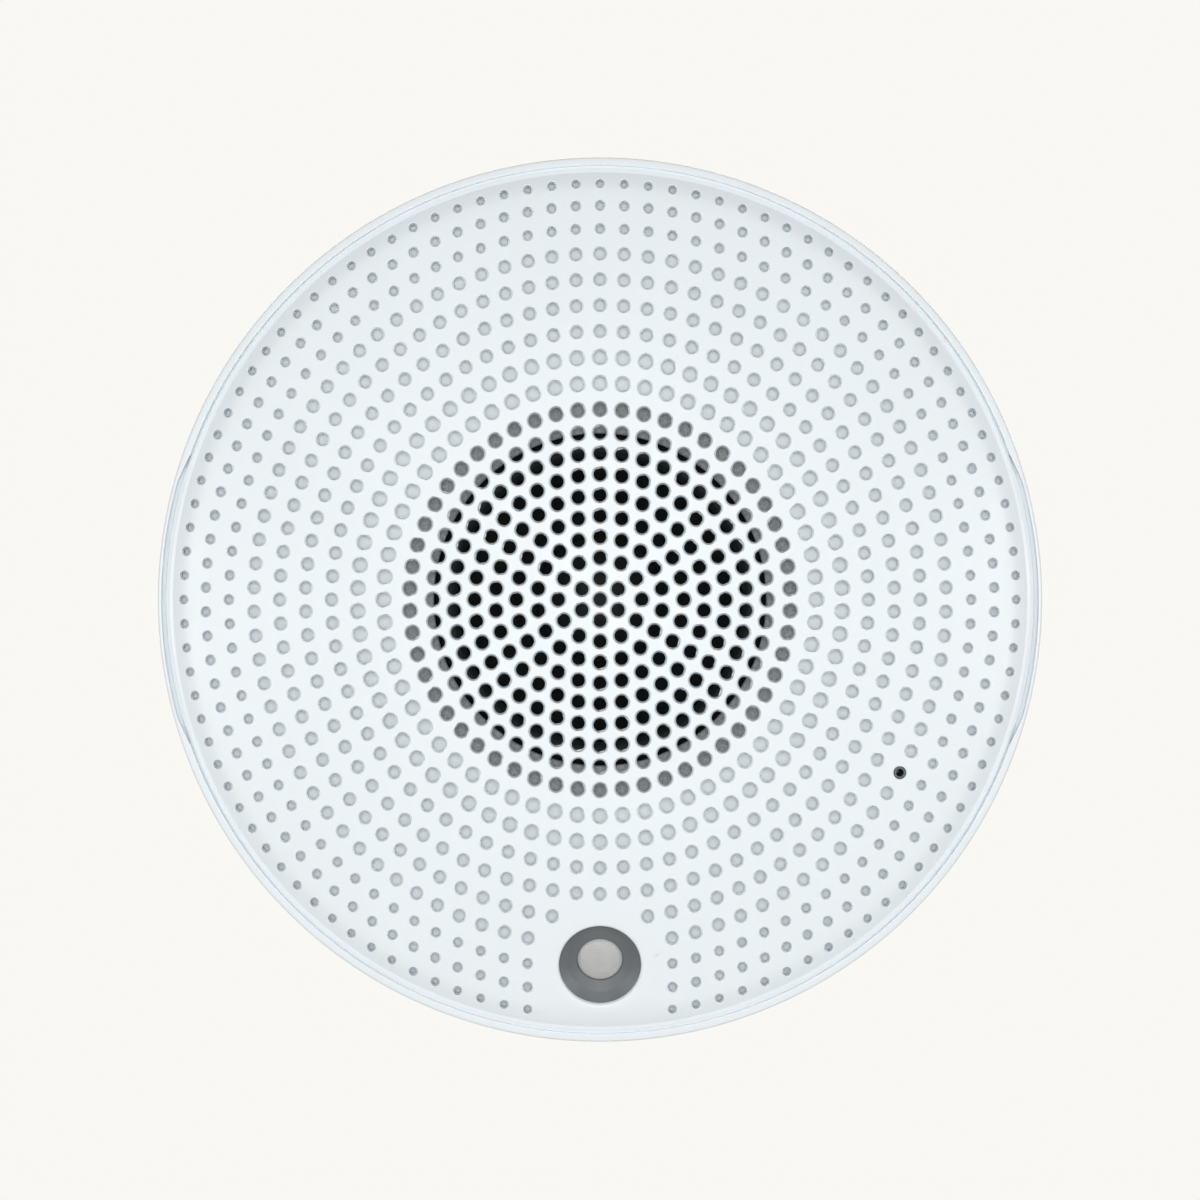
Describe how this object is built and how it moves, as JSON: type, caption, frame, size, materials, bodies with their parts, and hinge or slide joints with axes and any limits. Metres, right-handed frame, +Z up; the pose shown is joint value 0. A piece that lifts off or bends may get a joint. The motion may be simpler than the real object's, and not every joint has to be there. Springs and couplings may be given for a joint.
{
  "type": "smart speaker",
  "caption": "Round domed wall speaker with a perforated cover, motion sensor, microphone, rear network socket and twist-lock bracket.",
  "frame": {"origin": "centre of the wall bracket's back face, in the plane of the wall", "axes": "+Y into the wall, so the speaker faces -Y; +Z up, with the motion sensor at the bottom; +X to the right as seen from the front"},
  "size_m": [0.145, 0.0479, 0.145],
  "materials": {
    "shell_white": "satin moulded, cool white",
    "inner_white": "fine texture",
    "label_grey": "blank printed film",
    "screw_steel": "zinc plated",
    "plated_steel": "zinc plated",
    "jack_steel": "tin plated sheet",
    "basket_black": "black powder coat",
    "ferrite": "matte ceramic",
    "gasket_foam": "closed-cell foam, mid grey",
    "dark_foam": "open-cell foam",
    "seal_rubber": "soft matte",
    "surround_rubber": "satin rubber",
    "cone_black": "pressed paper pulp",
    "cap_grey": "coated cloth",
    "spider_cloth": "resin dipped weave",
    "coil_copper": "enamelled winding",
    "amber_board": "amber laminate",
    "circuit_green": "solder mask",
    "black_plastic": "moulded",
    "capacitor_sleeve": "shrink sleeve",
    "clear_plastic": "clear acrylic",
    "lens_white": "milky polyethylene",
    "sensor_grey": "satin grey",
    "wire_red": "insulation",
    "wire_black": "insulation"
  },
  "bodies": {
    "bracket": {"wall_bracket": "inner_white"},
    "speaker": {"base_housing": "shell_white", "back_label": "label_grey", "housing_screw_1": "screw_steel", "housing_screw_2": "screw_steel", "housing_screw_3": "screw_steel", "housing_screw_4": "screw_steel", "front_baffle": "inner_white", "baffle_seal": "seal_rubber", "damping_foam": "dark_foam", "driver_basket": "basket_black", "driver_yoke": "plated_steel", "driver_magnet": "ferrite", "driver_top_plate": "plated_steel", "driver_gasket": "gasket_foam", "driver_terminal": "amber_board", "driver_surround": "surround_rubber", "driver_spider": "spider_cloth", "driver_screw_1": "screw_steel", "driver_screw_2": "screw_steel", "driver_screw_3": "screw_steel", "driver_screw_4": "screw_steel", "main_board": "circuit_green", "board_screw_1": "screw_steel", "board_screw_2": "screw_steel", "board_screw_3": "screw_steel", "board_screw_4": "screw_steel", "network_jack": "jack_steel", "terminal_block": "black_plastic", "power_transformer": "ferrite", "capacitor_1": "capacitor_sleeve", "capacitor_2": "capacitor_sleeve", "shield_can": "jack_steel", "amplifier_chip": "black_plastic", "flex_connector": "black_plastic", "button_switch": "black_plastic", "light_pipe": "clear_plastic", "status_led": "lens_white", "driver_wire_plus": "wire_red", "driver_wire_minus": "wire_black", "mic_wire": "wire_black", "motion_bezel": "sensor_grey", "motion_lens": "lens_white", "motion_detector": "jack_steel", "motion_board": "circuit_green", "motion_flex": "amber_board", "mic_boot": "seal_rubber", "mic_capsule": "jack_steel", "mic_board": "circuit_green"},
    "cover": {"front_cover": "shell_white", "mic_port_ring": "sensor_grey"},
    "cone": {"driver_cone": "cone_black", "driver_dust_cap": "cap_grey", "driver_coil": "coil_copper"},
    "button": {"control_button": "sensor_grey"}
  },
  "joints": [
    {"name": "twist_lock", "type": "hinge", "parent": "bracket", "child": "speaker", "pos_m": [0, 0, 0], "axis": [0, -1, 0], "range_deg": [0, 20]},
    {"name": "cover_pull", "type": "slide", "parent": "speaker", "child": "cover", "axis": [0, -1, 0], "range_m": [0, 0.03]},
    {"name": "cone_travel", "type": "slide", "parent": "speaker", "child": "cone", "axis": [0, -1, 0], "range_m": [-0.002, 0.002], "stiffness_N_per_m": 1000, "deforming": ["driver_surround", "driver_spider"]},
    {"name": "button_press", "type": "slide", "parent": "speaker", "child": "button", "axis": [0, -1, 0], "range_m": [0, 0.0003], "stiffness_N_per_m": 5000}
  ]
}
